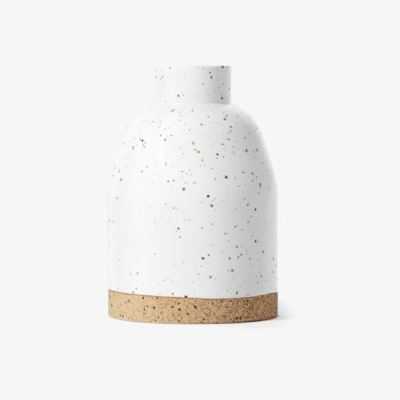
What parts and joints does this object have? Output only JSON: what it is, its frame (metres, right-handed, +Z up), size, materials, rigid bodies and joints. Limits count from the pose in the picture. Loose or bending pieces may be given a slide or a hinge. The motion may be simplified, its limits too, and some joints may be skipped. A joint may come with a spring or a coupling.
{
  "type": "bottle vase",
  "caption": "Round stoneware bottle vase with a straight body, a domed shoulder, a short collar neck, a speckled white glaze and a bare clay foot band, for cut or dried stems.",
  "frame": {"origin": "on the ground under the middle of the foot ring", "axes": "+Z up along the axis of the neck, +X to the right and -Y towards the viewer"},
  "size_m": [0.139, 0.139, 0.204],
  "materials": {
    "bare_clay": "unglazed speckled tan stoneware, matt and slightly gritty",
    "speckled_glaze": "warm white satin-gloss glaze with brown iron specks"
  },
  "bodies": {
    "root": {"base_cylinder": "bare_clay", "shoulder_dome": "bare_clay", "neck_collar": "bare_clay", "outer_glaze": "speckled_glaze", "liner_glaze": "speckled_glaze"}
  },
  "joints": []
}
